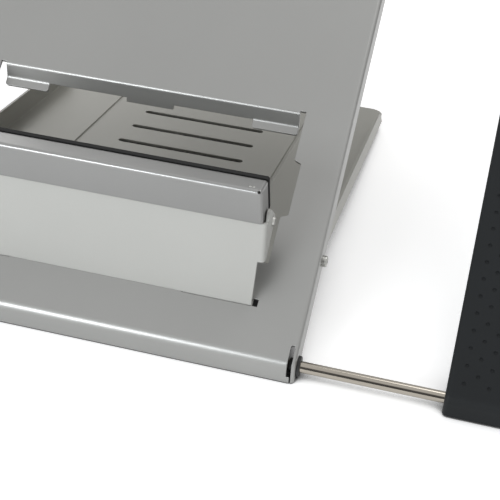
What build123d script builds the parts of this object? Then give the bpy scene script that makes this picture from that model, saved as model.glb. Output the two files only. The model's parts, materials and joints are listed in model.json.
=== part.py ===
from build123d import *
from math import asin, atan2, cos, hypot, pi, radians, sin, tan
import os

os.makedirs("parts", exist_ok=True)

# A folding laptop stand of bent sheet: a sloping panel on a hinged rear leg, a bracket with a
# hinged ledge bar standing out of it, and a black wing on two rods that slides out of each side.
# Frame: +Z up from the desk, +X to the right, +Y to the back. The origin is on the desk under
# the middle of the whole stand. Lengths are in millimetres, angles in degrees.

# --- main panel ---------------------------------------------------------------------------
panel_width = 304.0
panel_length = 416.0      # up the slope, from the corner above the lip to the top edge
panel_tilt = 36.1
panel_sheet = 2.5
flange_depth = 19.5       # side and rear flanges, square to the slope
lip_height = 16.2         # desk to the corner where the slope meets the front lip
desk_gap = 1.0            # bare sheet edges stay this far above the desk
front_roll = 8.0          # outside radius
rear_roll = 6.0           # outside radius
side_roll = 3.0           # outside radius
relief_width = 3.2        # slot between the front roll and each side flange
relief_top = 14.0         # where that slot ends up the slope
relief_foot = -6.0        # where it narrows to a slit
slit_width = 1.0

# --- window in the panel, positions up the slope -------------------------------------------
window_foot = 66.7
window_half = 117.7
window_bulge = 5.2        # the sides step outwards by this much
bulge_foot = 104.2
bulge_top = 144.0
bulge_slant = 2.0
window_corner = 1.5
rail_slope = 182.4        # the upper edge, bent down into a rail
rail_side_gap = 4.4       # between the rail's ends and the window's sides
rail_drop = 11.3          # vertical depth of the rail
rail_bend = 3.5           # outside radius
rail_lap = 1.8            # flat sheet the rail is bent from
tongue_half = 18.0
tongue_drop = 15.0
tab_width = 34.0
tab_length = 6.2
tab_corner = 1.8
tab_slant = 45.0          # below horizontal, pointing forward

# --- front bracket -------------------------------------------------------------------------
bracket_slope = 35.5      # where its front face crosses the panel's surface
bracket_sheet = 2.0
bracket_bend = 3.0        # outside radius
bracket_top = 104.5       # above the desk
bracket_lower_half = 113.2 # at its legs
bracket_flare = 2.1       # each side, from the legs up to the step
bracket_widening = 7.1    # each side
bracket_step = 73.8       # height where it widens
bracket_leg_inner = 64.5
slot_ahead = 0.4          # down the slope from the bracket's front face
slot_behind = 4.9
slot_end_gap = 4.1        # past the outer edge of each bracket leg
slot_inner_gap = 0.8
foot_top = 62.0
gusset_low = (4.0, 0.0)   # depth behind the front face, height above the step
gusset_high = (12.8, 9.0)
ear_start = 3.5           # ear behind the front face
ear_rise = 9.0            # front corner of the ear above the bracket's top
ear_set_back = 6.0
ear_radius = 7.5
ear_round = 3.75
rivet_size = 4.0
rivet_head = 7.0
rivet_head_height = 1.6
head_taper = 25.0         # sides of the rivet heads
rivet_slope = 52.0
rivet_inset = 12.5        # from both edges of each bracket leg

# --- ledge bar -----------------------------------------------------------------------------
pivot_back = 17.4         # ledge pivot behind the bracket's front face
pivot_below = 8.2         # and below the bracket's top
ledge_lean = 17.0         # leans forward at rest
ledge_sheet = 1.5
ledge_bend = 2.2          # outside radius
ledge_front = 16.0        # front face ahead of the pivot, square to the lean
ledge_depth = 17.3
ledge_foot = 14.1         # above the pivot, along the lean
ledge_ridge = 45.7
ledge_rear = 38.4
ledge_side_gap = 0.8
lobe_radius = 6.5
lobe_round = 5.2
seat_ahead = 0.5          # cheeks rest on the bracket's top edge, from ahead of its face
seat_back = 4.0           # to behind it
ledge_end_round = 2.0
ledge_hole = 1.0          # radius, in each end of the ridge
hole_inset = 1.8
pad_thick = 3.0
pad_overhang = 0.4        # past each end of the bar
pad_edge = 0.8
pad_corner = 1.5
pad_above = 0.8
pad_foot = 10.0

# --- rear leg ------------------------------------------------------------------------------
hinge_slope = 80.4
hinge_depth = 12.4
leg_sheet = 2.0
leg_bend = 3.0            # outside radius
leg_side_gap = 0.8
leg_floor = 5.9           # floor surface below the hinge axis
leg_wall = 12.6           # side walls above the hinge axis
leg_end_gap = 4.6         # rear edge short of the panel's length
leg_nose = 1.5            # straight front run of the walls, ahead of the rounded nose
leg_tail = 29.0           # flat floor behind the side walls
leg_wall_slant = 27.0     # length of the walls' sloping ends
leg_corner = 12.0
leg_rear_gap = 1.5        # rear edge above the desk
fold_angle = 2.0          # left between leg and panel when folded
stop_gap = 0.3
leg_slots = (156.2, 191.1, 227.0)
leg_slot_length = 108.5
leg_slot_width = 6.2
bead_x = 84.6
bead_width = 3.8
bead_depth = 1.2
bead_taper = 25.0
bead_start = 15.0
bead_end_gap = 9.0        # short of the leg's rear edge
bolt_size = 5.0
bolt_head = 8.0
bolt_head_height = 3.5
bolt_recess = 1.2
bolt_round = 1.1
bolt_end = 1.0            # past the lock nut
nut_width = 8.0
nut_height = 4.7
turning_gap = 0.08        # radial, pin in hole
face_gap = 0.1            # between turning faces
ledge_rivet_tail = 1.2
tail_taper = 15.0
rear_foot_size = 16.0
rear_foot_inset = 13.0
rear_foot_side = 28.7     # in from the leg's sides

# --- rods, bushes and guides ---------------------------------------------------------------
rod_size = 8.0
rod_chamfer = 0.5
rod_depth = 12.7          # rod axis below the panel's surface
front_rod = 3.8           # up the slope
rear_rod_inset = 14.0     # from the panel's top edge
rod_tail = 2.2            # past the stop
slide_gap = 0.08          # radial, rod in bush
bush_flange = 14.4
bush_flange_thick = 2.0
bush_round = 0.7
bush_barrel = 10.0
bush_inside = 3.0
guide_barrel = 9.8
guide_bush_flange = 12.6
guide_bush_thick = 1.5
guide_inset = 42.0        # in from the panel's sides
guide_sheet = 2.0
guide_width = 12.0
guide_front = 3.2         # front guide's edge behind the lip's face
guide_clear = 1.5         # and clear of the front roll's inside
guide_back = 14.5         # guide behind the rod axis
guide_fore = 7.5          # rear guide ahead of the rod axis
guide_base = 1.5          # front guide above the desk
guide_drop = 7.0          # rear guide below the rod axis
guide_tab = 9.0
foot_tab_gap = 0.5
stop_size = 12.6
stop_length = 5.0
stop_play = 0.3
foot_size = 10.0

# --- wings ---------------------------------------------------------------------------------
wing_out = 99.6           # gap between panel and wing, pulled out
wing_width = 70.0
wing_sheet = 3.0
wing_skirt = 19.0
wing_gap = 2.0            # above the desk
dimple_size = 2.7
dimple_depth = 0.7
dimple_first = 12.3
dimple_end_gap = 12.0
dimple_pitch = 12.2
dimple_column = 8.2
dimple_edge = 10.4
overrun = 1.0             # cuts and joined runs go this far past a face
saddle_radius = 6.0
saddle_near = 1.0         # from the rod axis towards the middle of the wing
saddle_far = 16.0
saddle_length = 40.0
saddle_inset = 3.0
saddle_wall = 2.0         # solid end of the rod's bore
saddle_screw_back = 11.0
saddle_screw_inset = 9.0
screw_size = 3.0
screw_head = 6.0
screw_head_height = 2.0
screw_taper = 10.0
screw_bite = 1.8

# --- worked out ----------------------------------------------------------------------------
panel_half = panel_width / 2
panel_inner = panel_half - panel_sheet
rail_half = window_half - rail_side_gap
bracket_upper_half = bracket_lower_half + bracket_widening
rivet_xs = (bracket_leg_inner + rivet_inset, bracket_lower_half - rivet_inset)
slot_foot = bracket_slope - slot_ahead
slot_top = bracket_slope + slot_behind
leg_reach = panel_length - hinge_slope - leg_end_gap
leg_wall_foot = leg_reach - leg_tail
leg_wall_end = leg_wall_foot - leg_wall_slant
bead_end = leg_reach - bead_end_gap
rear_rod = panel_length - rear_rod_inset
guide_x = panel_half - guide_inset
tilt = radians(panel_tilt)
leg_under = leg_floor + leg_sheet


def from_lip(along, depth):
    """Distance behind the lip and above the desk of a point up the slope and square below it."""
    return (along * cos(tilt) + depth * sin(tilt),
            lip_height + along * sin(tilt) - depth * cos(tilt))


hinge_back, hinge_height = from_lip(hinge_slope, hinge_depth)
leg_fall = (asin((hinge_height - leg_rear_gap) / hypot(leg_reach, leg_under))
            - atan2(leg_under, leg_reach))
stand_depth = hinge_back + leg_reach * cos(leg_fall) - leg_floor * sin(leg_fall)
lip_y = -stand_depth / 2
slope = Plane(origin=(0, lip_y, lip_height), x_dir=(1, 0, 0), z_dir=(0, -sin(tilt), cos(tilt)))


def on_slope(along, depth):
    """(Y, Z) of a point up the slope and square below the panel's surface."""
    back, height = from_lip(along, depth)
    return lip_y + back, height


def slope_at_height(height, depth):
    """How far up the slope a line at this depth is at a height above the desk."""
    return (height - lip_height + depth * cos(tilt)) / sin(tilt)


def slope_at_y(y, depth):
    """How far up the slope a line at this depth is at a given Y."""
    return (y - lip_y - depth * sin(tilt)) / cos(tilt)


def ring_face(x, points, size, bore=0):
    """Round discs, or rings with a bore, in the plane at x, centred on (Y, Z) points."""
    with BuildSketch(Plane.YZ.offset(x)) as face:
        with Locations(*points):
            Circle(size / 2)
            if bore:
                Circle(bore / 2, mode=Mode.SUBTRACT)
    return face.sketch


def side_face(x, points, rounds=()):
    """Closed outline seen from the side, in the plane at x; rounds are (corner, radius)."""
    with BuildSketch(Plane.YZ.offset(x)) as face:
        with BuildLine():
            Polyline(*points, close=True)
        make_face()
        for corner, radius in rounds:
            fillet(face.vertices().sort_by_distance((*corner, 0))[0], radius)
    return face.sketch


def bent_face(plane, points, radius, thickness, side):
    """Section of a bent sheet: straight runs joined by bends, and the same line one sheet in."""
    with BuildSketch(plane) as face:
        with BuildLine():
            FilletPolyline(*points, radius=radius)
            offset(amount=thickness, side=side)
        make_face()
    return face.sketch


def shell_outline(x, depth, lowest):
    """Solid outline of a rolled shell: lip, slope, rear flange and underside."""
    front_corner = (lip_y, lip_height)
    rear_corner = on_slope(panel_length, 0)
    points = [(lip_y, lowest), front_corner, rear_corner, on_slope(panel_length, depth),
              on_slope(slope_at_height(lowest, depth), depth)]
    return side_face(x, points, [(front_corner, front_roll), (rear_corner, rear_roll)])


def shell_hollow(x, depth, sheet):
    """The hollow inside that outline, open below."""
    front_corner = on_slope(slope_at_y(lip_y + sheet, sheet), sheet)
    rear_corner = on_slope(panel_length - sheet, sheet)
    points = [(lip_y + sheet, -depth), front_corner, rear_corner,
              on_slope(panel_length - sheet, 2 * depth), (lip_y + 2 * depth, -depth)]
    return side_face(x, points, [(front_corner, front_roll - sheet),
                                 (rear_corner, rear_roll - sheet)])


# --- main panel: one bent sheet -------------------------------------------------------------
rail_corner = on_slope(rail_slope, 0)
rail_start = on_slope(rail_slope + rail_lap, 0)
rail_edge = (rail_corner[0], rail_corner[1] - rail_drop)
rail_middle = rail_half - tab_width
tab_edge = (rail_edge[0] - tab_length * cos(radians(tab_slant)),
            rail_edge[1] - tab_length * sin(radians(tab_slant)))
leg_slot_inner = bracket_leg_inner - slot_inner_gap
leg_slot_outer = bracket_lower_half + slot_end_gap

with BuildPart() as main_panel:
    extrude(shell_outline(-panel_half, flange_depth, desk_gap), amount=panel_width)
    top_side = on_slope(panel_length / 2, 0)
    for x in (-panel_half, panel_half):
        fillet(edges().filter_by(GeomType.LINE).sort_by_distance((x, *top_side))[0], side_roll)
    extrude(shell_hollow(-panel_inner, flange_depth, panel_sheet), amount=2 * panel_inner,
            mode=Mode.SUBTRACT)

    # Window, with sides that step outwards.
    with BuildSketch(slope) as window:
        with BuildLine():
            Polyline((0, window_foot), (window_half, window_foot),
                     (window_half, bulge_foot - bulge_slant),
                     (window_half + window_bulge, bulge_foot),
                     (window_half + window_bulge, bulge_top),
                     (window_half, bulge_top + bulge_slant),
                     (window_half, rail_slope + rail_lap), (0, rail_slope + rail_lap), close=True)
        make_face()
        fillet(window.vertices().filter_by(lambda v: v.X > 1 and v.Y < rail_slope), window_corner)
        mirror(about=Plane.YZ)
    extrude(window.sketch, amount=2 * panel_sheet, both=True, mode=Mode.SUBTRACT)

    # Rail: the window's upper edge bent down, with a middle tongue and a tab at each end.
    for x, width, line in ((-rail_half, tab_width, (rail_start, rail_corner, rail_edge, tab_edge)),
                           (-rail_middle, 2 * rail_middle, (rail_start, rail_corner, rail_edge)),
                           (rail_middle, tab_width, (rail_start, rail_corner, rail_edge, tab_edge))):
        extrude(bent_face(Plane.YZ.offset(x), line, rail_bend, panel_sheet, Side.LEFT),
                amount=width)
    tab_corners = [(side * x, *tab_edge) for side in (-1, 1) for x in (rail_middle, rail_half)]
    for corner in tab_corners:
        short_edges = edges().filter_by(lambda e: abs(e.length - panel_sheet) < 0.01)
        fillet(short_edges.sort_by_distance(corner)[0], tab_corner)
    tongue = [(rail_corner[0], rail_edge[1]), (rail_corner[0] + panel_sheet, rail_edge[1]),
              (rail_corner[0] + panel_sheet, rail_corner[1] - tongue_drop),
              (rail_corner[0], rail_corner[1] - tongue_drop)]
    extrude(side_face(-tongue_half, tongue), amount=2 * tongue_half)

    # Slots for the bracket's legs, and the slot that frees the front roll from each flange.
    with BuildSketch(slope) as cuts:
        for side in (-1, 1):
            with Locations((side * (leg_slot_inner + leg_slot_outer) / 2, (slot_foot + slot_top) / 2)):
                Rectangle(leg_slot_outer - leg_slot_inner, slot_top - slot_foot)
            relief_x = side * (panel_inner - relief_width / 2)
            with Locations((relief_x, (relief_foot + relief_top - relief_width / 2) / 2)):
                Rectangle(relief_width, relief_top - relief_width / 2 - relief_foot)
            with Locations((relief_x, relief_top - relief_width / 2)):
                Circle(relief_width / 2)
    extrude(cuts.sketch, amount=-flange_depth - panel_sheet, mode=Mode.SUBTRACT)
    with BuildSketch(Plane((0, 0, desk_gap))) as slits:
        for side in (-1, 1):
            with Locations((side * (panel_inner - slit_width / 2), lip_y)):
                Rectangle(slit_width, 4 * panel_sheet)
    extrude(slits.sketch, amount=lip_height / 2, mode=Mode.SUBTRACT)

    # Holes across the side flanges for the hinge bolts and the rod bushes.
    with BuildSketch(Plane.YZ) as flange_holes:
        with Locations(on_slope(hinge_slope, hinge_depth)):
            Circle(bolt_size / 2 + turning_gap / 2)
        with Locations(on_slope(front_rod, rod_depth), on_slope(rear_rod, rod_depth)):
            Circle(bush_barrel / 2)
    extrude(flange_holes.sketch, amount=panel_width, both=True, mode=Mode.SUBTRACT)

    # Rivet holes in the strip between slots and window.
    with BuildSketch(slope) as rivet_holes:
        with Locations([(side * x, rivet_slope) for side in (-1, 1) for x in rivet_xs]):
            Circle(rivet_size / 2)
    extrude(rivet_holes.sketch, amount=-2 * panel_sheet, mode=Mode.SUBTRACT)

main_panel.part.label = "main_panel"
export_step(main_panel.part, "parts/main_panel.step")


# --- front bracket: an upright plate whose two legs pass through the slots ------------------
bracket_y = on_slope(bracket_slope, 0)[0]
under = panel_sheet + bracket_sheet
leg_corner_point = on_slope(slope_at_y(bracket_y, under), under)
leg_top_z = on_slope(bracket_slope, 0)[1] + bracket_sheet * tan(tilt) + bracket_sheet
pivot = (bracket_y + pivot_back, bracket_top - pivot_below)


def cheek_outline():
    """Side flange of the bracket: a slanted gusset with an ear about the ledge pivot."""
    return [(bracket_y, bracket_step), (bracket_y + gusset_low[0], bracket_step + gusset_low[1]),
            (bracket_y + gusset_high[0], bracket_step + gusset_high[1]),
            (pivot[0] + ear_radius, pivot[1]), (pivot[0], pivot[1] + ear_radius),
            (bracket_y + ear_set_back, bracket_top + ear_rise),
            (bracket_y + ear_start, bracket_top), (bracket_y, bracket_top)]


with BuildPart() as front_bracket:
    # Upright plate, standing on the panel between its legs.
    with BuildSketch(Plane.XZ.offset(-bracket_y)):
        with BuildLine():
            step_half = bracket_lower_half + bracket_flare
            Polyline((-bracket_lower_half, leg_top_z), (bracket_lower_half, leg_top_z),
                     (step_half, bracket_step), (bracket_upper_half, bracket_step),
                     (bracket_upper_half, bracket_top), (-bracket_upper_half, bracket_top),
                     (-bracket_upper_half, bracket_step), (-step_half, bracket_step), close=True)
        make_face()
    extrude(amount=-bracket_sheet)
    joined_z = leg_top_z + overrun
    foot_line = [(bracket_y, joined_z), on_slope(bracket_slope, 0),
                 on_slope(slope_at_y(bracket_y + bracket_sheet, 0), 0),
                 (bracket_y + bracket_sheet, joined_z)]
    extrude(side_face(-bracket_leg_inner, foot_line), amount=2 * bracket_leg_inner)
    leg_line = ((bracket_y, joined_z), leg_corner_point, on_slope(foot_top, under))
    leg_width = bracket_lower_half - bracket_leg_inner
    for x in (bracket_leg_inner, -bracket_lower_half):
        extrude(bent_face(Plane.YZ.offset(x), leg_line, bracket_bend, bracket_sheet, Side.LEFT),
                amount=leg_width)
    # Side flanges with the ears.
    ear_rounds = [((pivot[0] + ear_radius, pivot[1]), ear_round),
                  ((bracket_y + ear_set_back, bracket_top + ear_rise), ear_round)]
    for x in (-bracket_upper_half, bracket_upper_half - bracket_sheet):
        extrude(side_face(x, cheek_outline(), ear_rounds), amount=bracket_sheet)
    front_edges = edges().filter_by(Axis.Z).filter_by(
        lambda e: abs(abs(e.center().X) - bracket_upper_half) < 0.01
        and abs(e.center().Y - bracket_y) < 0.01)
    fillet(front_edges, bracket_bend)
    # Pivot holes and rivet holes.
    with BuildSketch(Plane.YZ):
        with Locations(pivot):
            Circle(rivet_size / 2)
    extrude(amount=2 * bracket_upper_half, both=True, mode=Mode.SUBTRACT)
    extrude(rivet_holes.sketch, amount=-flange_depth, mode=Mode.SUBTRACT)

front_bracket.part.label = "front_bracket"
export_step(front_bracket.part, "parts/front_bracket.step")

with BuildPart() as bracket_rivets:
    with BuildSketch(slope):
        with Locations([(side * x, rivet_slope) for side in (-1, 1) for x in rivet_xs]):
            Circle(rivet_size / 2)
    extrude(amount=-under)
    for base, direction in ((0, 1), (-under, -1)):
        with BuildSketch(slope.offset(base)):
            with Locations([(side * x, rivet_slope) for side in (-1, 1) for x in rivet_xs]):
                Circle(rivet_head / 2)
        extrude(amount=direction * rivet_head_height, taper=head_taper)

bracket_rivets.part.label = "bracket_rivets"
export_step(bracket_rivets.part, "parts/bracket_rivets.step")


# --- ledge bar: a bent channel leaning forward on the bracket's ears ------------------------
lean = radians(ledge_lean)
ledge_plane = Plane(origin=(0, *pivot), x_dir=(0, cos(lean), sin(lean)), z_dir=(1, 0, 0))
ledge_half = bracket_upper_half - bracket_sheet - ledge_side_gap
ledge_back = ledge_depth - ledge_front
front_foot = (-ledge_front, ledge_foot)
ridge = (-ledge_front, ledge_ridge)
rear_ridge = (ledge_back, ledge_rear)


def ledge_face(x, points, rounds=()):
    """Closed outline in the leaning plane of the ledge bar, at x."""
    with BuildSketch(ledge_plane.offset(x)) as face:
        with BuildLine():
            Polyline(*points, close=True)
        make_face()
        for corner, radius in rounds:
            fillet(face.vertices().sort_by_distance((*corner, 0))[0], radius)
    return face.sketch


def on_lean(y, z):
    """A point's place in that leaning plane."""
    place = ledge_plane.to_local_coords(Vector(0, y, z))
    return place.X, place.Y


seat = [on_lean(bracket_y + back, bracket_top + stop_gap) for back in (seat_back, -seat_ahead)]

slant = atan2(ledge_rear - ledge_ridge, ledge_depth)


def under_top(back):
    """Height of the inside of the bar's sloping top, this far behind the pivot."""
    return ledge_ridge + (back + ledge_front) * tan(slant) - ledge_sheet / cos(slant)


with BuildPart() as ledge_bar:
    outline = [front_foot, ridge, rear_ridge, (ledge_back, pad_foot), (lobe_radius, 0),
               (lobe_radius, -lobe_radius), (-lobe_radius, -lobe_radius), *seat]
    outline_rounds = [(ridge, ledge_bend), (rear_ridge, ledge_bend),
                      ((lobe_radius, -lobe_radius), lobe_round),
                      ((-lobe_radius, -lobe_radius), lobe_round)]
    extrude(ledge_face(-ledge_half, outline, outline_rounds), amount=2 * ledge_half)
    # Rounded ends along the front, the ridge, the top and the back.
    front_middle = (-ledge_front, (ledge_foot + ledge_ridge) / 2)
    for x in (-ledge_half, ledge_half):
        at_end = edges().filter_by(GeomType.LINE).filter_by_position(
            Axis.X, x - turning_gap, x + turning_gap)
        front_end = at_end.sort_by_distance(ledge_plane.from_local_coords((*front_middle, x)))[0]
        fillet(front_end, ledge_end_round)
    # Hollow between the two cheeks, open below.
    inner_front = ledge_sheet - ledge_front
    inner_back = ledge_back - ledge_sheet
    inner_ridge = (inner_front, under_top(inner_front))
    below = [(3 * ledge_front, ledge_foot), (3 * ledge_front, -ledge_ridge),
             (-3 * ledge_front, -ledge_ridge), (-3 * ledge_front, ledge_foot)]
    hollow = [(inner_front, ledge_foot), inner_ridge, (inner_back, under_top(inner_back)),
              (inner_back, ledge_foot), *below]
    extrude(ledge_face(ledge_sheet - ledge_half, hollow, [(inner_ridge, ledge_bend - ledge_sheet)]),
            amount=2 * (ledge_half - ledge_sheet), mode=Mode.SUBTRACT)
    # A small hole through each end of the ridge.
    outward = (3 * pi / 2 + slant) / 2
    for x in (hole_inset - ledge_half, ledge_half - hole_inset):
        with BuildSketch(Plane(origin=ledge_plane.from_local_coords((*ridge, x)), x_dir=(1, 0, 0),
                               z_dir=(0, cos(outward + lean), sin(outward + lean)))):
            Circle(ledge_hole)
        extrude(amount=2 * ledge_bend, both=True, mode=Mode.SUBTRACT)
    with BuildSketch(Plane.YZ):
        with Locations(pivot):
            Circle(rivet_size / 2 + turning_gap)
    extrude(amount=panel_width, both=True, mode=Mode.SUBTRACT)

ledge_bar.part.label = "ledge_bar"
export_step(ledge_bar.part, "parts/ledge_bar.step")

with BuildPart() as ledge_back_pad:
    pad = [(ledge_back, pad_foot), (ledge_back + pad_thick, pad_foot),
           (ledge_back + pad_thick, ledge_rear + pad_above), (ledge_back, ledge_rear + pad_above)]
    extrude(ledge_face(-ledge_half - pad_overhang, pad), amount=2 * (ledge_half + pad_overhang))
    fillet(edges().filter_by(Axis.X).group_by(Axis.Z)[-1], pad_edge)
    corner_edges = edges().filter_by(lambda e: abs(e.length - pad_thick) < 2 * pad_edge)
    fillet(corner_edges, pad_corner)

ledge_back_pad.part.label = "ledge_back_pad"
export_step(ledge_back_pad.part, "parts/ledge_back_pad.step")


# --- ledge pivot: a rivet and a thin washer on each side ------------------------------------
with BuildPart() as ledge_rivets:
    cheek_inner = ledge_half - ledge_sheet
    extrude(ring_face(cheek_inner - face_gap - ledge_rivet_tail, [pivot], rivet_size),
            amount=bracket_upper_half - cheek_inner + face_gap + ledge_rivet_tail)
    extrude(ring_face(bracket_upper_half, [pivot], rivet_head), amount=rivet_head_height,
            taper=head_taper)
    extrude(ring_face(cheek_inner - face_gap, [pivot], rivet_head), amount=-ledge_rivet_tail,
            taper=tail_taper)
    mirror(about=Plane.YZ)

ledge_rivets.part.label = "ledge_rivets"
export_step(ledge_rivets.part, "parts/ledge_rivets.step")

with BuildPart() as ledge_washers:
    extrude(ring_face(ledge_half + face_gap, [pivot], rivet_head, rivet_size + 2 * turning_gap),
            amount=ledge_side_gap - face_gap)
    mirror(about=Plane.YZ)

ledge_washers.part.label = "ledge_washers"
export_step(ledge_washers.part, "parts/ledge_washers.step")


# --- rear leg: a tray with upturned sides, hinged between the panel's flanges ---------------
hinge = on_slope(hinge_slope, hinge_depth)
leg_plane = Plane(origin=(0, *hinge), x_dir=(0, cos(leg_fall), -sin(leg_fall)), z_dir=(1, 0, 0))
leg_floor_plane = Plane(origin=leg_plane.from_local_coords((0, -leg_floor, 0)), x_dir=(1, 0, 0),
                        z_dir=(0, sin(leg_fall), cos(leg_fall)))
leg_half = panel_inner - leg_side_gap
open_angle = tilt + leg_fall
head_room = hinge_depth - panel_sheet - stop_gap


def wall_limit(along, angle):
    """Height over the hinge axis where a wall meets the panel held at this angle to the leg."""
    return head_room / cos(angle) + along * tan(angle)


nose_turn = (head_room / cos(radians(fold_angle)) - head_room / cos(open_angle)) / (
    tan(open_angle) - tan(radians(fold_angle)))
full_wall = (leg_wall - head_room / cos(radians(fold_angle))) / tan(radians(fold_angle))
nose_run = head_room * tan((open_angle - radians(fold_angle)) / 2)
leg_front = (nose_run + leg_nose) * cos(open_angle) - nose_turn
wall_line = [(-leg_front, -leg_under), (-leg_front, wall_limit(-leg_front, open_angle)),
             (nose_turn, wall_limit(nose_turn, open_angle)), (full_wall, leg_wall),
             (leg_wall_end, leg_wall), (leg_wall_foot, -leg_floor), (leg_wall_foot, -leg_under)]


def leg_face(x, points, rounds=()):
    """Closed outline in the leg's own leaning plane, at x."""
    with BuildSketch(leg_plane.offset(x)) as face:
        with BuildLine():
            Polyline(*points, close=True)
        make_face()
        for corner, radius in rounds:
            fillet(face.vertices().sort_by_distance((*corner, 0))[0], radius)
    return face.sketch


with BuildPart() as rear_leg:
    extrude(leg_face(-leg_half, wall_line, [((leg_wall_end, leg_wall), 2 * leg_bend),
                                            (wall_line[2], head_room)]), amount=2 * leg_half)
    for x in (-leg_half, leg_half):
        low_side = leg_plane.from_local_coords((leg_wall_foot / 2, -leg_under, x))
        fillet(edges().filter_by(GeomType.LINE).sort_by_distance(low_side)[0], leg_bend)
    hollow = [(-2 * leg_front, -leg_floor), (leg_reach, -leg_floor), (leg_reach, 2 * leg_wall),
              (-2 * leg_front, 2 * leg_wall)]
    extrude(leg_face(-leg_half + leg_sheet, hollow), amount=2 * (leg_half - leg_sheet),
            mode=Mode.SUBTRACT)
    # Flat rear end of the floor with rounded corners.
    with BuildSketch(leg_floor_plane) as rear_end:
        with Locations((0, (leg_wall_foot + leg_reach) / 2)):
            Rectangle(2 * (leg_half - leg_bend), leg_reach - leg_wall_foot)
        fillet(rear_end.vertices().group_by(Axis.Y)[-1], leg_corner)
    extrude(amount=-leg_sheet)
    # Cross slots and the two long beads pressed into the floor.
    with BuildSketch(leg_floor_plane):
        with Locations(*[(0, along) for along in leg_slots]):
            SlotOverall(leg_slot_length, leg_slot_width)
    extrude(amount=-leg_sheet, mode=Mode.SUBTRACT)
    with BuildSketch(leg_floor_plane):
        with Locations(*[(side * bead_x, (bead_start + bead_end) / 2) for side in (-1, 1)]):
            SlotOverall(bead_end - bead_start, bead_width, rotation=90)
    extrude(amount=-bead_depth, taper=bead_taper, mode=Mode.SUBTRACT)
    extrude(ring_face(-panel_half, [hinge], bolt_size + 2 * turning_gap), amount=panel_width,
            mode=Mode.SUBTRACT)

rear_leg.part.label = "rear_leg"
export_step(rear_leg.part, "parts/rear_leg.step")

with BuildPart() as rear_feet:
    with BuildSketch(leg_floor_plane.offset(-leg_sheet)):
        with Locations(*[(side * (leg_half - rear_foot_side), leg_reach - rear_foot_inset)
                         for side in (-1, 1)]):
            Circle(rear_foot_size / 2)
    extrude(amount=-4 * leg_rear_gap)
    split(bisect_by=Plane.XY, keep=Keep.TOP)

rear_feet.part.label = "rear_feet"
export_step(rear_feet.part, "parts/rear_feet.step")

with BuildPart() as leg_bolts:
    nut_inner = leg_half - leg_sheet - face_gap - nut_height
    extrude(ring_face(nut_inner - bolt_end, [hinge], bolt_size),
            amount=panel_half - nut_inner + bolt_end)
    extrude(ring_face(panel_half, [hinge], bolt_head), amount=bolt_head_height)
    fillet(faces().sort_by(Axis.X)[-1].edges(), bolt_round)
    with BuildSketch(Plane.YZ.offset(panel_half + bolt_head_height)):
        with Locations(hinge):
            Rectangle(bolt_head / 2, bolt_recess, rotation=30)
            Rectangle(bolt_recess, bolt_head / 2, rotation=30)
    extrude(amount=-bolt_recess, mode=Mode.SUBTRACT)
    mirror(about=Plane.YZ)

leg_bolts.part.label = "leg_bolts"
export_step(leg_bolts.part, "parts/leg_bolts.step")

with BuildPart() as leg_washers:
    extrude(ring_face(leg_half + face_gap, [hinge], 2 * bolt_size, bolt_size + 2 * turning_gap),
            amount=leg_side_gap - face_gap)
    mirror(about=Plane.YZ)

leg_washers.part.label = "leg_washers"
export_step(leg_washers.part, "parts/leg_washers.step")

with BuildPart() as leg_lock_nuts:
    with BuildSketch(Plane.YZ.offset(nut_inner)):
        with Locations(hinge):
            RegularPolygon(nut_width / 2, 6, major_radius=False)
            Circle(bolt_size / 2, mode=Mode.SUBTRACT)
    extrude(amount=nut_height)
    mirror(about=Plane.YZ)

leg_lock_nuts.part.label = "leg_lock_nuts"
export_step(leg_lock_nuts.part, "parts/leg_lock_nuts.step")


# --- rods, bushes, guides and stops ---------------------------------------------------------
rod_points = [on_slope(front_rod, rod_depth), on_slope(rear_rod, rod_depth)]
bore = rod_size + 2 * slide_gap
guide_inner = guide_x - guide_sheet / 2

with BuildPart() as outer_bushes:
    extrude(ring_face(panel_half, rod_points, bush_flange, bore), amount=bush_flange_thick)
    fillet(edges().filter_by(GeomType.CIRCLE).group_by(Axis.X)[-1].sort_by(SortBy.RADIUS)[-2:],
           bush_round)
    extrude(ring_face(panel_inner - bush_inside, rod_points, bush_barrel, bore),
            amount=panel_sheet + bush_inside)
    mirror(about=Plane.YZ)

outer_bushes.part.label = "outer_bushes"
export_step(outer_bushes.part, "parts/outer_bushes.step")

with BuildPart() as guide_bushes:
    extrude(ring_face(guide_inner - guide_bush_thick, rod_points, guide_bush_flange, bore),
            amount=guide_bush_thick)
    extrude(ring_face(guide_inner, rod_points, guide_barrel, bore), amount=2 * guide_sheet)
    mirror(about=Plane.YZ)

guide_bushes.part.label = "guide_bushes"
export_step(guide_bushes.part, "parts/guide_bushes.step")

front_axis, rear_axis = rod_points
front_back = front_axis[0] + guide_back
web_front = lip_y + guide_front
front_web = [(web_front, guide_base), (front_back, guide_base),
             on_slope(slope_at_y(front_back, panel_sheet), panel_sheet),
             on_slope(front_rod + guide_clear, panel_sheet), (web_front, lip_height - front_roll)]
rear_low = rod_depth + guide_drop
rear_web = [on_slope(rear_rod - guide_fore, panel_sheet), on_slope(rear_rod + guide_fore, panel_sheet),
            on_slope(rear_rod + guide_fore, rear_low), on_slope(rear_rod - guide_fore, rear_low)]


def weld_strip(start, end):
    """Top flange of a guide, flat under the panel."""
    low = panel_sheet + guide_sheet
    return [on_slope(start, panel_sheet), on_slope(end, panel_sheet), on_slope(end, low),
            on_slope(start, low)]


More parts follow.
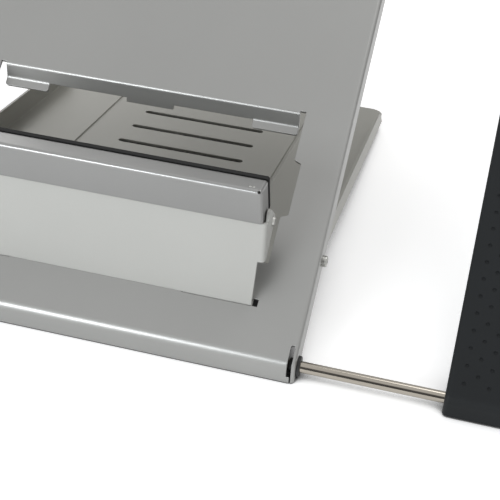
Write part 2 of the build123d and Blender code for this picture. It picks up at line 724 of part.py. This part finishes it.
with BuildPart() as front_rod_guides:
    extrude(side_face(guide_inner, front_web), amount=guide_sheet)
    strip_end = slope_at_y(front_back, panel_sheet)
    extrude(side_face(guide_inner - guide_width, weld_strip(front_rod + bush_barrel, strip_end)),
            amount=guide_width)
    tab_front = front_axis[0] + guide_bush_flange / 2 + foot_tab_gap
    foot_tab = [(tab_front, guide_base), (front_back + guide_tab, guide_base),
                (front_back + guide_tab, guide_base + guide_sheet),
                (tab_front, guide_base + guide_sheet)]
    extrude(side_face(guide_inner - guide_width, foot_tab), amount=guide_width + guide_sheet)
    extrude(ring_face(0, [front_axis], guide_barrel), amount=panel_half, mode=Mode.SUBTRACT)
    mirror(about=Plane.YZ)

front_rod_guides.part.label = "front_rod_guides"
export_step(front_rod_guides.part, "parts/front_rod_guides.step")

with BuildPart() as rear_rod_guides:
    extrude(side_face(guide_inner, rear_web), amount=guide_sheet)
    extrude(side_face(guide_inner - guide_width, weld_strip(rear_rod - guide_fore,
                                                            rear_rod + guide_fore)),
            amount=guide_width)
    extrude(ring_face(0, [rear_axis], guide_barrel), amount=panel_half, mode=Mode.SUBTRACT)
    mirror(about=Plane.YZ)

rear_rod_guides.part.label = "rear_rod_guides"
export_step(rear_rod_guides.part, "parts/rear_rod_guides.step")

with BuildPart() as front_feet:
    foot_centre = (front_back + tab_front + guide_tab) / 2
    with BuildSketch(Plane.XY):
        with Locations(*[(side * (guide_x - guide_width / 2), foot_centre) for side in (-1, 1)]):
            Circle(foot_size / 2)
    extrude(amount=guide_base)

front_feet.part.label = "front_feet"
export_step(front_feet.part, "parts/front_feet.step")


# --- wings: the right-hand pieces, each written out again as its mirror image ---------------
wing_start = panel_half + wing_out
wing_end = wing_start + wing_width
saddle_start = wing_start + wing_sheet + saddle_inset
saddle_end = saddle_start + saddle_length
screw_xs = (saddle_start + saddle_screw_inset, saddle_end - saddle_screw_inset)
screw_slopes = (front_rod + saddle_screw_back, rear_rod - saddle_screw_back)

with BuildPart() as wing_plate:
    extrude(shell_outline(wing_start, wing_skirt, wing_gap), amount=wing_width)
    for x in (wing_start, wing_end):
        fillet(edges().filter_by(GeomType.LINE).sort_by_distance((x, *top_side))[0], side_roll)
    extrude(shell_hollow(wing_start + wing_sheet, wing_skirt, wing_sheet),
            amount=wing_width - 2 * wing_sheet, mode=Mode.SUBTRACT)
    columns = int((wing_width - 2 * dimple_edge) / dimple_column + 0.5) + 1
    rows = int((panel_length - dimple_end_gap - dimple_first) / dimple_pitch) + 1
    places = [(wing_start + dimple_edge + column * dimple_column,
               dimple_first + (row + column % 2 / 2) * dimple_pitch)
              for column in range(columns) for row in range(rows - column % 2)]
    with BuildSketch(slope):
        with Locations(*places):
            Circle(dimple_size / 2)
    extrude(amount=-dimple_depth, mode=Mode.SUBTRACT)
    extrude(ring_face(wing_start - overrun, rod_points, bore), amount=wing_sheet + 2 * overrun,
            mode=Mode.SUBTRACT)
    with BuildSketch(slope.offset(-wing_sheet)):
        with Locations(*[(x, along) for x in screw_xs for along in screw_slopes]):
            Circle(screw_size / 2)
    extrude(amount=screw_bite, mode=Mode.SUBTRACT)

with BuildPart() as wing_saddles:
    for near, far in ((front_rod + saddle_near, front_rod + saddle_far),
                      (rear_rod - saddle_near, rear_rod - saddle_far)):
        block = [on_slope(near, wing_sheet), on_slope(far, wing_sheet), on_slope(far, rod_depth),
                 on_slope(near, rod_depth)]
        extrude(side_face(saddle_start, block), amount=saddle_length)
    extrude(ring_face(saddle_start, rod_points, 2 * saddle_radius), amount=saddle_length)
    extrude(ring_face(saddle_start - overrun, rod_points, rod_size),
            amount=saddle_length + overrun - saddle_wall, mode=Mode.SUBTRACT)
    with BuildSketch(slope.offset(-wing_sheet)):
        with Locations(*[(x, along) for x in screw_xs for along in screw_slopes]):
            Circle(screw_size / 2)
    extrude(amount=-rod_depth, mode=Mode.SUBTRACT)

with BuildPart() as wing_rods:
    stop_start = guide_inner - guide_bush_thick - stop_play - stop_length
    rod_inner_end = stop_start - rod_tail
    extrude(ring_face(rod_inner_end, rod_points, rod_size),
            amount=saddle_end - saddle_wall - rod_inner_end)
    chamfer(edges().filter_by(GeomType.CIRCLE), rod_chamfer)

with BuildPart() as rod_stops:
    extrude(ring_face(stop_start, rod_points, stop_size, rod_size), amount=stop_length)

with BuildPart() as saddle_screws:
    with BuildSketch(slope.offset(screw_bite - wing_sheet)):
        with Locations(*[(x, along) for x in screw_xs for along in screw_slopes]):
            Circle(screw_size / 2)
    extrude(amount=wing_sheet - screw_bite - rod_depth)
    with BuildSketch(slope.offset(-rod_depth)):
        with Locations(*[(x, along) for x in screw_xs for along in screw_slopes]):
            Circle(screw_head / 2)
    extrude(amount=-screw_head_height, taper=screw_taper)

wing_pieces = {"wing_plate": wing_plate, "wing_saddles": wing_saddles, "wing_rods": wing_rods,
               "rod_stops": rod_stops, "saddle_screws": saddle_screws}
for name, piece in wing_pieces.items():
    piece.part.label = f"right_{name}"
    export_step(piece.part, f"parts/right_{name}.step")
    left_piece = mirror(piece.part, about=Plane.YZ)
    left_piece.label = f"left_{name}"
    export_step(left_piece, f"parts/left_{name}.step")
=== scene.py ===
"""A folding laptop stand of grey sheet metal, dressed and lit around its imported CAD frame."""
import json

import bmesh
import bpy
from mathutils import Matrix, Vector


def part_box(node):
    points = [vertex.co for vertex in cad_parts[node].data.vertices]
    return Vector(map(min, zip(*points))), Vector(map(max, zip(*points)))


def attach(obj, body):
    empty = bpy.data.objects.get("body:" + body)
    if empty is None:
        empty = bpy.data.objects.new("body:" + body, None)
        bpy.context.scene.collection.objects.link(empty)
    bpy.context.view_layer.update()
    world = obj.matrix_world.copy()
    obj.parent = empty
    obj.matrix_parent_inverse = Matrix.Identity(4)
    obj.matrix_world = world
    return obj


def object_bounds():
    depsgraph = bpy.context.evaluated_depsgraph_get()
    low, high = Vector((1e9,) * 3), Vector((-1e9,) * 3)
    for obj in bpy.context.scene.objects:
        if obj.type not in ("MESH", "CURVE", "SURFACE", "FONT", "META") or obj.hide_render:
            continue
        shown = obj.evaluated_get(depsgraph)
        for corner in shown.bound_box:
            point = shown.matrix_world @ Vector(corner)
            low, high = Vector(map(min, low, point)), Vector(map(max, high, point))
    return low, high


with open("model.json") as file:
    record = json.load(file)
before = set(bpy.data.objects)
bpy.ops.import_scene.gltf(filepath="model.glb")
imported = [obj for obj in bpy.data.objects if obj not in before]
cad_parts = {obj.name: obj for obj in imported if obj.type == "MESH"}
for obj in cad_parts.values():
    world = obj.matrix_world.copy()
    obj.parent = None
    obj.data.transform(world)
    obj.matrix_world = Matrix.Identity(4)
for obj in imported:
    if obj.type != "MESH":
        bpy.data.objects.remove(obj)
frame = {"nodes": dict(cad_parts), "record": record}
cad_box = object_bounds()
nodes = frame["nodes"]
MM = 0.001
WHITE = (1, 1, 1)

# Noise scales, per metre of object coordinates.
FLAKE_SCALE = 3200
DRAWN_SCALE = 2500
SHEET_CLOUD_SCALE = 11
PLASTIC_CLOUD_SCALE = 25

# How far a texture moves the roughness down and up.
METAL_VARIATION = (0.04, 0.05)
PLASTIC_VARIATION = (0.06, 0.08)

# Small domed heads near the ends of the ledge bar's top.
HEAD_RADIUS = 0.9 * MM
HEAD_FLATTENING = 0.5
HEAD_INSETS = (6.2 * MM, 8.5 * MM)   # from the bar's end
HEAD_AHEAD = 4.79 * MM               # from the laptop_front_rest mount, towards the front

# The floor's colour carries painted shade: ambient occlusion finds where the stand covers it, and
# there the colour goes dark and the glow is masked off.
FLOOR_HALF = 4.0
FLOOR_LIGHT = 0.88
FLOOR_PAINTED_SHADE = 0.1                  # painted shade: the floor's colour where the stand closely covers it
COVER_REACH = 0.14                   # how far up the floor looks for the stand
COVER_EDGE = (0.2, 0.58)             # open share of the view up: covered, and clear
COVER_SAMPLES = 16

# Dim flags that reflections show. Each pair says to where a flag is dim and from where the light is
# clear, as a component of the unit direction: right (X), behind (Y) or up (Z).
FRONT_FLAG_MIDDLE = -0.06            # right
FRONT_FLAG_SIDE = (0.12, 0.22)       # right or left of that middle
FRONT_FLAG_TOP = (0.6, 0.82)         # up
FRONT_FLAG_BACK = (-0.45, 0.1)       # behind
REAR_FLAG_LEFT = (-0.08, 0.05)       # left, plus the slant times behind
REAR_FLAG_SLANT = -0.33
REAR_FLAG_FRONT = (0.5, 0.25)        # behind
REAR_FLAG_TOP = (0.3, 0.4)           # up
REAR_FLAG_LEAST = 0.3                # share of the clear light that the rear flag keeps

LAMP_AIM = (0, 0, 0.1)


# --- node helpers --------------------------------------------------------------------------
def new_material(name):
    """A node material that holds its shader and output alone: material, tree, shader."""
    material = bpy.data.materials.new(name)
    material.use_nodes = True
    tree = material.node_tree
    tree.nodes.clear()
    shader = tree.nodes.new("ShaderNodeBsdfPrincipled")
    output = tree.nodes.new("ShaderNodeOutputMaterial")
    tree.links.new(shader.outputs["BSDF"], output.inputs["Surface"])
    return material, tree, shader


def object_position(tree, stretch=(1, 1, 1)):
    """Object coordinates in metres, stretched along the axes."""
    place = tree.nodes.new("ShaderNodeTexCoord")
    mapping = tree.nodes.new("ShaderNodeMapping")
    mapping.inputs["Scale"].default_value = stretch
    tree.links.new(place.outputs["Object"], mapping.inputs["Vector"])
    return mapping.outputs["Vector"]


def noise(tree, vector, scale, detail, roughness=0.55):
    """Noise texture at these coordinates."""
    texture = tree.nodes.new("ShaderNodeTexNoise")
    texture.inputs["Scale"].default_value = scale
    texture.inputs["Detail"].default_value = detail
    texture.inputs["Roughness"].default_value = roughness
    tree.links.new(vector, texture.inputs["Vector"])
    return texture.outputs["Fac"]


def ramp(tree, value, start, dark, end, light):
    """Colour from dark, up to start, to light, from end on."""
    node = tree.nodes.new("ShaderNodeValToRGB")
    for element, position, colour in zip(node.color_ramp.elements, (start, end), (dark, light)):
        element.position = position
        element.color = (*colour, 1)
    tree.links.new(value, node.inputs["Fac"])
    return node.outputs["Color"]


def multiply(tree, first, second):
    """Product of two colours."""
    mix = tree.nodes.new("ShaderNodeMix")
    mix.data_type = "RGBA"
    mix.blend_type = "MULTIPLY"
    mix.inputs["Factor"].default_value = 1.0
    tree.links.new(first, mix.inputs["A"])
    tree.links.new(second, mix.inputs["B"])
    return mix.outputs["Result"]


def vary_roughness(tree, shader, texture, rough, variation):
    """Roughness that the middle range of a texture moves about its mean value."""
    less, more = variation
    node = tree.nodes.new("ShaderNodeMapRange")
    node.inputs["From Min"].default_value = 0.3
    node.inputs["From Max"].default_value = 0.7
    node.inputs["To Min"].default_value = rough - less
    node.inputs["To Max"].default_value = rough + more
    tree.links.new(texture, node.inputs["Value"])
    tree.links.new(node.outputs["Result"], shader.inputs["Roughness"])


def bump(tree, shader, texture, strength, distance, edge):
    """Fine relief on normals that are rounded over edges broken by this radius."""
    rounded = tree.nodes.new("ShaderNodeBevel")
    rounded.samples = 6
    rounded.inputs["Radius"].default_value = edge
    node = tree.nodes.new("ShaderNodeBump")
    node.inputs["Strength"].default_value = strength
    node.inputs["Distance"].default_value = distance
    tree.links.new(texture, node.inputs["Height"])
    tree.links.new(rounded.outputs["Normal"], node.inputs["Normal"])
    tree.links.new(node.outputs["Normal"], shader.inputs["Normal"])


def outside(tree, value, low, high):
    """0 for a value up to low, 1 from high on, smooth between."""
    node = tree.nodes.new("ShaderNodeMapRange")
    node.interpolation_type = "SMOOTHSTEP"
    node.inputs["From Min"].default_value = low
    node.inputs["From Max"].default_value = high
    tree.links.new(value, node.inputs["Value"])
    return node.outputs["Result"]


def math_node(tree, operation, *values):
    """Result of one operation on sockets or plain numbers."""
    node = tree.nodes.new("ShaderNodeMath")
    node.operation = operation
    for socket, value in zip(node.inputs, values):
        if isinstance(value, (int, float)):
            socket.default_value = value
        else:
            tree.links.new(value, socket)
    return node.outputs[0]


def ray_kinds(tree):
    """Two switches: 1 for camera rays, and 1 for camera, glossy and transmission rays."""
    path = tree.nodes.new("ShaderNodeLightPath")
    camera_ray = path.outputs["Is Camera Ray"]
    seen = math_node(tree, "MAXIMUM", camera_ray, path.outputs["Is Glossy Ray"])
    seen = math_node(tree, "MAXIMUM", seen, path.outputs["Is Transmission Ray"])
    return camera_ray, seen


def srgb(*levels):
    """Linear colour of 0-255 screen levels."""
    def linear(level):
        share = level / 255
        return share / 12.92 if share <= 0.04045 else ((share + 0.055) / 1.055) ** 2.4
    return tuple(linear(level) for level in levels)


def tint(colour, factor):
    """A colour made darker or lighter."""
    return tuple(min(1.0, channel * factor) for channel in colour)


# --- materials -----------------------------------------------------------------------------
def silver_finish(name, colour, metallic, rough, flake=0.03):
    """Satin silver sheet: fine metallic flake, faint cloudiness, softly broken edges."""
    material, tree, shader = new_material(name)
    place = object_position(tree)
    flakes = noise(tree, place, FLAKE_SCALE, 2.0, 0.5)
    cloud = noise(tree, place, SHEET_CLOUD_SCALE, 4.0)
    fine = ramp(tree, flakes, 0.25, tint(colour, 1 - flake), 0.75, tint(colour, 1 + flake))
    broad = ramp(tree, cloud, 0.3, tint(WHITE, 0.965), 0.7, WHITE)
    tree.links.new(multiply(tree, fine, broad), shader.inputs["Base Color"])
    shader.inputs["Metallic"].default_value = metallic
    vary_roughness(tree, shader, flakes, rough, METAL_VARIATION)
    bump(tree, shader, flakes, strength=0.05, distance=0.01 * MM, edge=0.6 * MM)
    return material


def turned_steel(name, colour, rough, stretch=(1, 1, 1)):
    """Bright steel with fine drawing or turning lines."""
    material, tree, shader = new_material(name)
    lines = noise(tree, object_position(tree, stretch), DRAWN_SCALE, 3.0, 0.6)
    tree.links.new(ramp(tree, lines, 0.3, tint(colour, 0.9), 0.7, tint(colour, 1.05)),
                   shader.inputs["Base Color"])
    shader.inputs["Metallic"].default_value = 1.0
    vary_roughness(tree, shader, lines, rough, METAL_VARIATION)
    bump(tree, shader, lines, strength=0.12, distance=0.02 * MM, edge=0.3 * MM)
    return material


def moulded_plastic(name, colour, rough, grain_size=0.6 * MM, strength=0.35, shine=0.5):
    """Matt moulded plastic or rubber with a fine spark-eroded grain."""
    material, tree, shader = new_material(name)
    place = object_position(tree)
    grain = noise(tree, place, 1 / grain_size, 3.0, 0.6)
    cloud = noise(tree, place, PLASTIC_CLOUD_SCALE, 3.0)
    tree.links.new(ramp(tree, cloud, 0.3, tint(colour, 0.88), 0.7, tint(colour, 1.12)),
                   shader.inputs["Base Color"])
    vary_roughness(tree, shader, grain, rough, PLASTIC_VARIATION)
    shader.inputs["Specular IOR Level"].default_value = shine
    bump(tree, shader, grain, strength=strength, distance=0.12 * MM, edge=0.4 * MM)
    return material


def dress(material, *names):
    """Give these CAD nodes this material alone."""
    for name in names:
        node = nodes[name]
        node.data.materials.clear()
        node.data.materials.append(material)


panel_silver = silver_finish("panel silver", srgb(156, 156, 154), 0.65, 0.36)
leg_silver = silver_finish("leg silver", srgb(155, 154, 147), 0.25, 0.38)
bracket_silver = silver_finish("bracket silver", srgb(184, 184, 180), 0.15, 0.5)
ledge_silver = silver_finish("ledge silver", srgb(149, 149, 148), 0.8, 0.32, flake=0.02)
rod_steel = turned_steel("rod steel", srgb(164, 158, 148), 0.1, stretch=(0.02, 1, 1))
fastener_steel = turned_steel("fastener steel", srgb(176, 176, 172), 0.3)
wing_black = moulded_plastic("wing black", srgb(20, 23, 25), 0.6, shine=0.25)
bush_black = moulded_plastic("bush black", srgb(14, 14, 15), 0.5, 0.4 * MM, 0.2)
rubber_black = moulded_plastic("rubber black", srgb(10, 10, 10), 0.8, 0.5 * MM, 0.3)
washer_nylon = moulded_plastic("washer nylon", srgb(222, 219, 210), 0.45, 0.4 * MM, 0.1)

dress(panel_silver, "main_panel", "front_rod_guides", "rear_rod_guides")
dress(leg_silver, "rear_leg")
dress(bracket_silver, "front_bracket")
dress(ledge_silver, "ledge_bar")
dress(rubber_black, "ledge_back_pad", "rear_feet", "front_feet")
dress(fastener_steel, "bracket_rivets", "ledge_rivets", "leg_bolts", "leg_lock_nuts")
dress(washer_nylon, "ledge_washers", "leg_washers")
dress(bush_black, "outer_bushes", "guide_bushes")
for hand in ("right", "left"):
    dress(wing_black, f"{hand}_wing_plate")
    dress(bush_black, f"{hand}_wing_saddles")
    dress(rod_steel, f"{hand}_wing_rods")
    dress(fastener_steel, f"{hand}_rod_stops", f"{hand}_saddle_screws")


# --- small domed heads near the ends of the ledge bar --------------------------------------
def domed_head(name, place, axis):
    """A low dome standing on the surface at place, its axis along the surface normal."""
    mesh = bpy.data.meshes.new(name)
    shape = bmesh.new()
    bmesh.ops.create_uvsphere(shape, u_segments=24, v_segments=16, radius=HEAD_RADIUS)
    bmesh.ops.scale(shape, vec=(1, 1, HEAD_FLATTENING), verts=shape.verts)
    shape.to_mesh(mesh)
    shape.free()
    mesh.shade_smooth()
    head = bpy.data.objects.new(name, mesh)
    bpy.context.scene.collection.objects.link(head)
    turn = axis.to_track_quat("Z", "Y").to_matrix().to_4x4()
    head.matrix_world = Matrix.Translation(place) @ turn
    mesh.materials.append(fastener_steel)
    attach(head, "ledge")


rest_mount = next(m for m in frame["record"]["mounts"] if m["name"] == "laptop_front_rest")
rest_axis = Vector(rest_mount["axis"])
rest_centre = Vector(rest_mount["pos_m"])
toward_front = Vector((0, -rest_axis.z, rest_axis.y))
bar_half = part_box("ledge_bar")[1][0]
for hand, side in (("right", 1), ("left", -1)):
    for number, inset in enumerate(HEAD_INSETS, start=1):
        centre = rest_centre + toward_front * HEAD_AHEAD
        centre.x = side * (bar_half - inset)
        domed_head(f"{hand}_bar_head_{number}", centre, rest_axis)


# --- floor, light, camera ------------------------------------------------------------------
def pale_floor(glow):
    """A white floor that camera and metal see brighter; where the stand covers it, its colour is
    painted dark as shade and that glow is masked off.
    """
    mesh = bpy.data.meshes.new("floor")
    corners = [(-1, -1), (1, -1), (1, 1), (-1, 1)]
    mesh.from_pydata([(x * FLOOR_HALF, y * FLOOR_HALF, 0) for x, y in corners],
                     [], [(0, 1, 2, 3)])
    floor = bpy.data.objects.new("floor", mesh)
    bpy.context.scene.collection.objects.link(floor)
    floor.location.z = cad_box[0][2]
    material, tree, shader = new_material("floor white, painted shade")
    cover = tree.nodes.new("ShaderNodeAmbientOcclusion")
    cover.samples = COVER_SAMPLES
    cover.inputs["Distance"].default_value = COVER_REACH
    clear = outside(tree, cover.outputs["AO"], *COVER_EDGE)
    # Painted shade: the floor's colour goes from light to dark where the stand covers it.
    tree.links.new(ramp(tree, clear, 0.0, (FLOOR_PAINTED_SHADE,) * 3, 1.0, (FLOOR_LIGHT,) * 3),
                   shader.inputs["Base Color"])
    shader.inputs["Roughness"].default_value = 0.9
    shader.inputs["Specular IOR Level"].default_value = 0.0
    shader.inputs["Emission Color"].default_value = (*WHITE, 1)
    seen = ray_kinds(tree)[1]
    # No glow in the painted shade under the stand.
    lift = math_node(tree, "MULTIPLY", seen, clear)
    tree.links.new(math_node(tree, "MULTIPLY", lift, glow), shader.inputs["Emission Strength"])
    floor.data.materials.append(material)


def studio_world(strength, dim):
    """Even white light; its reflections show dim flags in front, and behind to the right."""
    world = bpy.data.worlds.new("studio")
    bpy.context.scene.world = world
    world.use_nodes = True
    tree = world.node_tree
    background = tree.nodes["Background"]
    place = tree.nodes.new("ShaderNodeTexCoord")
    parts = tree.nodes.new("ShaderNodeSeparateXYZ")
    tree.links.new(place.outputs["Generated"], parts.inputs["Vector"])
    right, behind, up = (parts.outputs[axis] for axis in "XYZ")

    off_middle = math_node(tree, "ABSOLUTE", math_node(tree, "ADD", right, -FRONT_FLAG_MIDDLE))
    front_clear = math_node(tree, "MAXIMUM", outside(tree, off_middle, *FRONT_FLAG_SIDE),
                            math_node(tree, "MAXIMUM", outside(tree, up, *FRONT_FLAG_TOP),
                                      outside(tree, behind, *FRONT_FLAG_BACK)))

    leftward = math_node(tree, "MULTIPLY_ADD", behind, REAR_FLAG_SLANT,
                         math_node(tree, "MULTIPLY", right, -1.0))
    rear_clear = math_node(tree, "MAXIMUM", outside(tree, leftward, *REAR_FLAG_LEFT),
                           math_node(tree, "MAXIMUM", outside(tree, behind, *REAR_FLAG_FRONT),
                                     outside(tree, up, *REAR_FLAG_TOP)))
    rear_clear = math_node(tree, "MAXIMUM", rear_clear, REAR_FLAG_LEAST)

    camera_ray, seen = ray_kinds(tree)
    clear = math_node(tree, "MINIMUM", front_clear, rear_clear)
    clear = math_node(tree, "MAXIMUM", clear, camera_ray)
    tree.links.new(ramp(tree, clear, 0.0, (dim,) * 3, 1.0, WHITE), background.inputs["Color"])
    tree.links.new(math_node(tree, "MULTIPLY_ADD", seen, 1.0 - strength, strength),
                   background.inputs["Strength"])


def area_light(name, place, size, power, colour=WHITE):
    """A rectangular lamp aimed at the stand, which the camera doesn't see."""
    lamp = bpy.data.lights.new(name, "AREA")
    lamp.shape = "RECTANGLE"
    lamp.size, lamp.size_y = size
    lamp.energy = power
    lamp.color = colour
    holder = bpy.data.objects.new(name, lamp)
    bpy.context.scene.collection.objects.link(holder)
    holder.location = place
    holder.visible_camera = False
    holder.rotation_euler = (Vector(LAMP_AIM) - Vector(place)).to_track_quat("-Z", "Y").to_euler()


def photo_camera():
    """A long lens above the right front corner, placed from the panel's front lip."""
    data = bpy.data.cameras.new("camera")
    camera = bpy.data.objects.new("camera", data)
    bpy.context.scene.collection.objects.link(camera)
    lip_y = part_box("main_panel")[0][1]
    right = Vector((0.965239, 0.256243, 0.05156))
    down = Vector((0.188417, -0.545299, -0.816675))
    ahead = Vector((-0.181149, 0.798075, -0.574611))
    place = Vector((0.25052, lip_y - 0.59066, 0.52822))
    turn = Matrix((right, -down, -ahead)).transposed().to_4x4()
    camera.matrix_world = Matrix.Translation(place) @ turn
    data.lens = 85.05
    data.sensor_width = 36
    bpy.context.scene.camera = camera


pale_floor(glow=0.5)
studio_world(strength=0.6, dim=0.12)
area_light("key light", (-0.8, -2.1, 0.75), size=(1.0, 0.6), power=26, colour=(0.93, 0.97, 1.0))
area_light("rear light", (-1.15, 1.9, 0.95), size=(1.2, 0.6), power=3)
area_light("top light", (0.6, 0.7, 2.0), size=(1.0, 1.0), power=9)
photo_camera()
bpy.context.scene.view_settings.view_transform = "Standard"
